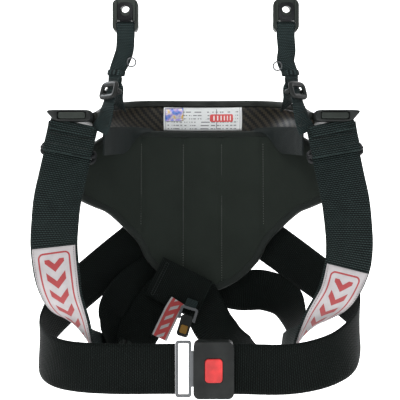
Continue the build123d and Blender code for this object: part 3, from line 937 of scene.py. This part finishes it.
def turn_under(route, facings, gap, tuck):
    """Adds a rounded end that goes back beneath the strap, square to its run."""
    last = Vector(route[-1])
    run = (last - Vector(route[-2])).normalized()
    look = Vector(facings[-1])
    look = (look - run * look.dot(run)).normalized()
    ends = [(0.45, 0.12, 1), (0.8, 0.5, 0), (0.45, 0.88, -1), (-tuck * 0.3 / gap, 1, -1),
            (-tuck / gap, 1, -1)]
    more = [last + run * (gap * ahead) - look * (gap * under) for ahead, under, _ in ends]
    turns = [(look * side + run * (k < 3)).normalized() for k, (_, _, side) in enumerate(ends)]
    return list(route) + more, list(facings) + turns


def make_shoulder(side, sign, cloth, pale_thread, dark_thread):
    """The webbing from the wing down, its sewn label and its two folded ends."""
    route = SHOULDER[side]
    facings = turned(sign, SHOULDER_FACINGS)
    strap, _ = ribbon(route, facings, WEB, WEB_THICK, ripple=0.7, seed=3 + sign)
    strap.make(f"{side}_shoulder_webbing", cloth, "body_webbing", replaces=[f"{side}_shoulder_strap"])

    first, last = LABEL_SPAN[side]
    label, length = ribbon(route, facings, WEB - 4, 0.5, lift=1.45, start=first, end=last, steps=12,
                           ripple=0.7, selvage=0.0, seed=3 + sign)
    patch = label.make(f"{side}_label", strap_label_cloth(length), "white_vinyl",
                       replaces=[f"{side}_strap_label"])
    sewing = Piece()
    for offset in (-21.5, 21.5):
        edge_stitches(sewing, route, facings, first + 0.005, last - 0.005, offset, 1.85, 46)
    sewing.make(f"{side}_label_stitches", pale_thread, "white_vinyl")

    top_x, mid_x, low_x = route[0][0] + sign, route[1][0], route[2][0]
    lower_route, lower_look = turn_under(
        [(top_x, -6.3, -8), (mid_x, -8.2, -20), (low_x, -10.6, -38)], [FRONT] * 3, 2.4, 9)
    lower, _ = ribbon(lower_route, lower_look, WEB + 1, WEB_THICK * 0.85, ripple=0.3, seed=8 + sign)
    lower.make(f"{side}_fold_lower", cloth, "body_webbing", replaces=[f"{side}_shoulder_fold"])
    upper_route, upper_look = turn_under(
        [(top_x - sign, -6.6, -6.8), (top_x, -9.4, -9), (top_x + sign * 1.6, -10.6, -16.5)],
        [(0, -0.8, 0.6), (0, -1, 0.25), FRONT], 2.0, 5)
    upper, _ = ribbon(upper_route, upper_look, WEB - 3, WEB_THICK * 0.8, ripple=0.25, seed=12 + sign)
    upper.make(f"{side}_fold_upper", cloth, "body_webbing")
    sewing = Piece()
    for z in (-21.5, -31.5):
        middle = Vector((mid_x + (low_x - mid_x) * (-20 - z) / 18, -8.2 - 2.4 * (-20 - z) / 18 - 1.0, z))
        reach = [(middle + Vector((x, 0, x * (low_x - mid_x) / 18 * 0.9))) * MM for x in range(-21, 22, 3)]
        stitch_row(sewing, reach, [Vector(FRONT)] * len(reach), thread=0.8)
    sewing.make(f"{side}_fold_stitches", dark_thread, "body_webbing")


def make_body_straps(side, sign, cloth):
    """The three wide straps that go from the liner round the body."""
    for name, routes, looks, ripple in (("side", SIDE_STRAP, SIDE_FACINGS, 0.8),
                                        ("lower", LOWER_STRAP, LOWER_FACINGS, 0.5),
                                        ("cross", CROSS_STRAP, CROSS_FACINGS, 0.4)):
        strap, _ = ribbon(routes[side], turned(sign, looks), WEB, WEB_THICK, ripple=ripple,
                          seed=20 + sign + len(name))
        strap.make(f"{side}_{name}_webbing", cloth, "body_webbing", replaces=[f"{side}_{name}_strap"])


def make_keeper(cloth, thread):
    """Webbing folded back beneath itself over the crossing, with a rounded nose."""
    route = [(-58, 86.5, -178), (-44, 86, -185), (-30, 85.5, -192), (-14, 84.8, -200), (-5, 84.6, -204.6),
             (0.2, 86.2, -207.1), (-5, 88.2, -204.6), (-16, 88.8, -199), (-30, 89.2, -192)]
    looks = [FRONT, FRONT, FRONT, FRONT, FRONT, (0.87, 0, -0.43), (0, 1, 0), (0, 1, 0), (0, 1, 0)]
    keeper, _ = ribbon(route, looks, WEB, 1.9, steps=12, ripple=0.35, seed=31)
    keeper.make("keeper_fold", cloth, "body_webbing", replaces=["crossover_keeper"])
    sewing = Piece()
    stitch_box(sewing, route[:5], looks[:5], 0.12, 21, 1.6, 1.1, cross=False)
    sewing.make("keeper_stitches", thread, "body_webbing")


def make_pull(red_white, cloth, tag_cloth):
    """The pull strap, the release clip's loop and the care tag."""
    pull, _ = ribbon([(-29, 80, -207), (-36, 78, -218), (-43, 74, -232), (-51, 68, -248)],
                     [(-0.1, -1, 0)] * 4, 19, 1.6, steps=14, ripple=0.6, seed=40)
    pull.make("pull_ribbon", red_white, "white_vinyl", replaces=["pull_strap"])
    tab, _ = ribbon([(-12, 81.5, -206), (-13.6, 78.8, -210.5), (-15.5, 76, -215)], [FRONT] * 3, 14, 1.6,
                    ripple=0.1, seed=42)
    tab.make("release_loop", cloth, "tether_webbing", replaces=["release_tab"])
    tag, length = ribbon([(-106, 107, -178), (-114, 107, -192), (-121, 107, -204)],
                         [(0.3, -1, 0)] * 3, 16, 0.5, ripple=0.8, selvage=0.0, seed=44)
    leaf = tag.make("care_leaf", tag_cloth, "white_vinyl", replaces=["care_tag"])


def make_shoulder_pad(side, sign, felt):
    """A soft flap along the collar's foot, covering the liner's corner."""
    rows, weaves = [], []
    count = 44
    length = 0.0
    before = None
    for i in range(count + 1):
        share = i / count
        angle = sign * (17 + 71 * share)
        spot, outward = collar_frame(angle)
        length += (spot - before).length if before else 0
        before = spot
        top = foot_height(angle) + 1.8
        drop = min(max((abs(angle) - 33) / 26, 0), 1)
        low = -6 - 28 * drop * drop * (3 - 2 * drop) - 6 * max(abs(angle) - 60, 0) / 28
        end = min(1.0, min(share, 1 - share) * 9 + 0.15) ** 0.5
        half = (top - low) / 2
        row, coords = [], []
        for k, (c, s) in enumerate(circle(28)):
            up = half * squarer(s, 0.75)
            lump = noise.noise(Vector((length * 0.06, k * 0.25, sign * 2))) * 0.7
            deep = (1.9 + lump) * squarer(c, 0.7) * end
            point = spot + outward * -4.6 + Vector((0, 0, (top + low) / 2 + up))
            over = liner_back(point.x, min(point.z, -4), -3.6).y
            lap = min(max((top - point.z) / 9, 0), 1)
            point.y += min(over - point.y, 0) * lap * lap * (3 - 2 * lap)
            row.append((point + outward * deep) * MM)
            coords.append(Vector((up, length, 0)) * MM)
        rows.append(row)
        weaves.append(coords)
    pad = Piece()
    pad.grid(rows, weaves)
    pad.make(f"{side}_felt_pad", felt, "grey_felt", replaces=[f"{side}_shoulder_pad"])


def wing_loop(sign, y, inset, top=6.2, corner=6):
    """The wing's section at y, drawn in by inset, its corners rounded."""
    middle = (137.5, 0.4)
    sides = ((0, 1, top), (0, -1, 6.9), (-1, 0, 20.5), (0.751, -0.661, 17.6))
    loop = []
    for c, s in circle(112):
        pull = sum(max(0.0, (nx * c + nz * s) / max(far - inset, 0.5)) ** corner for nx, nz, far in sides)
        reach = pull ** (-1 / corner)
        loop.append(Vector((sign * (middle[0] + c * reach), y, middle[1] + s * reach)))
    return loop


def pocket_loop(sign, y, shrink):
    """The section at y of the wing's pocket for the belt bar."""
    loop = []
    for c, s in circle(112):
        pull = (abs(c) / (15.1 - shrink)) ** 8 + (abs(s) / (4.2 - shrink)) ** 8
        reach = pull ** (-1 / 8)
        loop.append(Vector((sign * (137.5 + c * reach), y, 0.4 + s * reach)))
    return loop


def make_wing(side, sign, paint):
    """A rounded arm end with a pocket for the metal bar in its front face."""
    loops = [wing_loop(sign, 54.8, 3.5), wing_loop(sign, 54.0, 1.2), wing_loop(sign, 51.5, 0.0)]
    loops += [wing_loop(sign, 51.5 - 5.5 * k, 0.0) for k in range(1, 11)]
    loops += [wing_loop(sign, -8.0, 0.0), wing_loop(sign, -10.4, 0.35), wing_loop(sign, -11.6, 1.0),
              pocket_loop(sign, -11.9, -0.35), pocket_loop(sign, -11.4, 0.0), pocket_loop(sign, -4.0, 0.0)]
    wing = Piece()
    wing.grid([[v * MM for v in loop] for loop in loops],
              [[Vector((v.x, v.y, 0)) * MM for v in loop] for loop in loops])
    wing.make(f"{side}_wing_body", paint, "trim_plastic", replaces=[f"{side}_wing"])


def tether_route(sign, top):
    """Up from the collar's end, through the slide, in to the clip and round its pin."""
    straight = [(sign * (101.2 - 2.3 * step), -7 + step, 6 + 10 * step) for step in range(5)]
    rise = [(sign * 87, -2, 58), (sign * (top + 1), -2, 70), (sign * top, -2.2, 84)]
    return [(sign * 110, -3.2, -16), (sign * 104.5, -5, -5)] + straight + rise


def make_tether(side, sign, cloth, thread, metal):
    """The tether round its clip pin, its back leg, sewing, keeper and ring."""
    top = TETHER_TOP[side]
    route = tether_route(sign, top)
    looks = turned(sign, TETHER_FACINGS) + [(0, -1, 0)]
    x = sign * top
    loop = [(x, -4.6, CLIP_PIN_Z - 4), (x, -5.5, CLIP_PIN_Z), (x, -4.4, CLIP_PIN_Z + 2.9),
            (x, -2, CLIP_PIN_Z + 3.7), (x, 0.4, CLIP_PIN_Z + 2.9), (x, 1.5, CLIP_PIN_Z),
            (x, 0.8, CLIP_PIN_Z - 5), (x, -0.5, 84)]
    loop_looks = [(0, -1, 0.1), (0, -1, 0), (0, -0.7, 0.7), (0, 0, 1), (0, 0.7, 0.7), (0, 1, 0),
                  (0, 1, -0.1), (0, 1, 0)]
    strap, _ = ribbon(route + loop, looks + loop_looks, TETHER, 1.5, ripple=0.15, columns=10,
                      selvage=0.15, seed=50 + sign)
    strap.make(f"{side}_tether_webbing", cloth, "tether_webbing", replaces=[f"{side}_tether_strap"])
    leg = turned(sign, [(97, 74, 20), (97.5, 54, 24), (97, 30, 29), (95, 10, 36), (92.5, 0.5, 46)])
    leg_looks = turned(sign, [(-0.5, -0.2, 0.7), (-0.45, -0.3, 0.75), (-0.3, -0.5, 0.7),
                              (0.2, -0.8, 0.3), (0.5, -0.86, 0)])
    back_leg, _ = ribbon(leg, leg_looks, TETHER, 1.5, ripple=0.5, columns=10, selvage=0.15, seed=54 + sign)
    back_leg.make(f"{side}_tether_back_leg", cloth, "tether_webbing")
    sewing = Piece()
    stitch_box(sewing, route, looks, 0.13, 7, 6.5, 0.95, pitch=2.2)
    for offset in (-7.6, 7.6):
        edge_stitches(sewing, route, looks, 0.74, 0.88, offset, 0.95, 14)
    sewing.make(f"{side}_tether_stitches", thread, "tether_webbing")

    run = Vector((sign * -2.3, 1, 10)).normalized()
    band = Piece()
    centre = Vector(route[6])
    look = Vector(looks[6])
    across = run.cross(look).normalized()
    out = across.cross(run)
    path = []
    for c, s in circle(28):
        path.append((centre + across * (10.6 * squarer(c, 0.4))
                     + out * (2.1 * squarer(s, 0.6)) - out * 0.4) * MM)
    rows, weaves = [], []
    for i, spot in enumerate(path + path[:1]):
        away = (spot - (centre - out * 0.4) * MM)
        away = (away - run * away.dot(run)).normalized()
        row, coords = [], []
        for px, py in ((-2.7, -0.3), (-2.7, 0.3), (-2.0, 0.6), (0, 0.7), (2.0, 0.6), (2.7, 0.3), (2.7, -0.3)):
            row.append(spot + run * (px * MM) + away * (py * MM))
            coords.append(Vector((px, i * 1.9, 0)) * MM)
        rows.append(row)
        weaves.append(coords)
    band.grid(rows, weaves, capped=False)
    band.make(f"{side}_keeper_band", cloth, "tether_webbing", replaces=[f"{side}_tether_keeper"])

    ring_at = Vector((sign * (75.5 if side == "left" else 78), -4.2, 57 if side == "left" else 53))
    ring = Piece()
    loop_path = []
    for k in range(32):
        turn = math.tau * k / 32
        c = math.cos(turn)
        reach = 4.4 * squarer(c, 0.75 if c * sign > 0 else 1)
        loop_path.append((ring_at + Vector((reach, 0.27 * math.sin(turn * 2), 4.6 * math.sin(turn)))) * MM)
    ring.tube(loop_path, 0.8 * MM, closed=True, normal=Vector((0, 1, 0)))
    ring.make(f"{side}_small_ring", metal, "steel")


def tri_glide(name, centre, along, facing, web, thick, length, rod, metal, slot, body, node, flat=0.75):
    """A slide of bent rod: an oval ring on the webbing's face and a bar behind it."""
    along = Vector(along).normalized()
    across = along.cross(Vector(facing)).normalized()
    outward = across.cross(along)
    centre = Vector(centre)
    rise = thick / 2 + 0.3 + rod * flat
    wide, tall = web / 2 + 0.3 + rod, length / 2 - rod
    ring = []
    for c, s in circle(64):
        ring.append((centre + across * (wide * squarer(c, 0.4))
                     + along * (tall * squarer(s, 0.4)) + outward * rise) * MM)
    glide = Piece()
    glide.tube(ring, rod * MM, closed=True, flat=flat, normal=outward, sides=14)
    reach = web / 2 - 1
    bar = [centre + across * x + outward * y
           for x, y in ((-wide, rise * 0.9), (-wide, 0), (-wide + 1.2, -rise), (-reach * 0.5, -rise),
                        (0, -rise), (reach * 0.5, -rise), (wide - 1.2, -rise), (wide, 0),
                        (wide, rise * 0.9))]
    glide.tube([v * MM for v in through(bar, 5)], rod * 0.85 * MM, flat=0.8,
               normal=outward, sides=12)
    glide.make(name, metal, slot, body=body, replaces=[node])


def make_adjusters(side, sign, steel, plastic):
    """The slides on a side's shoulder strap and tether."""
    route = SHOULDER[side]
    run = Vector(route[3]) - Vector(route[1])
    tri_glide(f"{side}_strap_glide", route[2], run, (0, 1, 0), WEB, WEB_THICK, 17, 2.4, steel,
              "black_steel", f"{side}_strap_adjuster", f"{side}_shoulder_adjuster", flat=0.55)
    rise = tether_route(sign, TETHER_TOP[side])
    tri_glide(f"{side}_tether_glide", rise[4], (sign * -2.3, 1, 10), (sign * 0.78, -0.63, 0), TETHER + 0.4,
              TETHER_THICK + 0.6, 20, 3.0, plastic, "clip_plastic", f"{side}_tether_adjuster",
              f"{side}_tether_slide", flat=0.7)


# Assembly -------------------------------------------------------------------------

def paint_cad(paints):
    """Gives every CAD node that stays in view a material by its slot."""
    slots = {part["node"]: part["material_slot"] for part in frame["record"]["subparts"]}
    for name, node in frame["nodes"].items():
        paint = paints.get(slots[name])
        if paint is None:
            continue
        if not node.material_slots:
            node.data.materials.append(paint)
        for slot in node.material_slots:
            slot.material = paint


make_camera()
make_studio()
make_stage()

body_cloth = webbing("body_webbing", (0.0003, 0.0008, 0.0008), (0.026, 0.043, 0.041), 0.0022, 0.003, 0.0009,
                     sheen=0.02, shine=0.1)
# Painted shade: a darker copy of the body webbing for the keeper and the side, lower and cross straps, which
# sit low and at the back where less light falls.
shaded_rear_cloth = webbing("shaded_rear_webbing", (0.0002, 0.0005, 0.0003), (0.0055, 0.010, 0.0085), 0.0022, 0.003,
                     0.0006, sheen=0.01, shine=0.08)
tether_cloth = webbing("tether_webbing", (0.0015, 0.0035, 0.0035), (0.034, 0.053, 0.053), 0.0016, 0.0022,
                       0.0005, sheen=0.02, shine=0.1)
liner_cloth = knit("liner_fabric", (0.0035, 0.0055, 0.004), (0.020, 0.027, 0.0215), 0.0016)
tape = webbing("binding_tape", (0.0015, 0.003, 0.0022), (0.018, 0.025, 0.021), 0.0011, 0.0014, 0.0003)
felt = knit("grey_felt", (0.0045, 0.007, 0.0068), (0.014, 0.019, 0.0185), 0.0012, fuzz=1.4, sheen=0.03)
dark_thread = moulded("dark_thread", (0.012, 0.015, 0.014), 0.65, 1500)
grey_thread = moulded("grey_thread", (0.11, 0.12, 0.11), 0.7, 1500)
pale_thread = moulded("pale_thread", (0.24, 0.22, 0.22), 0.7, 1500)
carbon_paint = carbon()
black_plastic = moulded("black_plastic", (0.005, 0.0065, 0.006), 0.4, 600)
rim_plastic = moulded("rim_plastic", (0.007, 0.009, 0.007), 0.5, 500, depth=0.00009)
black_steel = moulded("black_steel", (0.012, 0.013, 0.014), 0.36, 500, metallic=0.4)
satin_metal = brushed("satin_metal", (0.05, 0.057, 0.052), 0.42)
steel = brushed("steel", (0.13, 0.135, 0.14), 0.3)
brass = brushed("brass", (0.30, 0.17, 0.045), 0.32)
red_plastic = moulded("red_plastic", (0.5, 0.02, 0.02), 0.35, 600, coat=0.3)

paint_cad({"trim_plastic": black_plastic, "black_steel": black_steel, "satin_metal": satin_metal,
           "steel": steel, "brass": brass, "clip_plastic": black_plastic, "red_plastic": red_plastic,
           "carbon": carbon_paint})

make_collar(carbon_paint, rim_plastic)
make_sticker("data_sticker", -19, 19, -1, 28, 0.25, sticker_vinyl(), "white_vinyl", "spec_sticker")
make_sticker("foil_mark", -18, -7.5, 11, 27, 1.2, foil(), "foil", "foil_seal", tilt=0.06)
make_liner(liner_cloth, grey_thread)
make_bindings(tape, dark_thread)
make_back_shell(carbon_paint)
# The keeper and the body straps take the darker webbing, which is painted shade.
make_keeper(shaded_rear_cloth, dark_thread)

for side, sign in SIDES.items():
    make_body_straps(side, sign, shaded_rear_cloth)
    make_shoulder(side, sign, body_cloth, pale_thread, dark_thread)
    make_shoulder_pad(side, sign, felt)
    make_wing(side, sign, black_plastic)
    make_tether(side, sign, tether_cloth, dark_thread, steel)
    make_adjusters(side, sign, black_steel, black_plastic)

make_pull(red_white_cloth(), tether_cloth, tag_print())
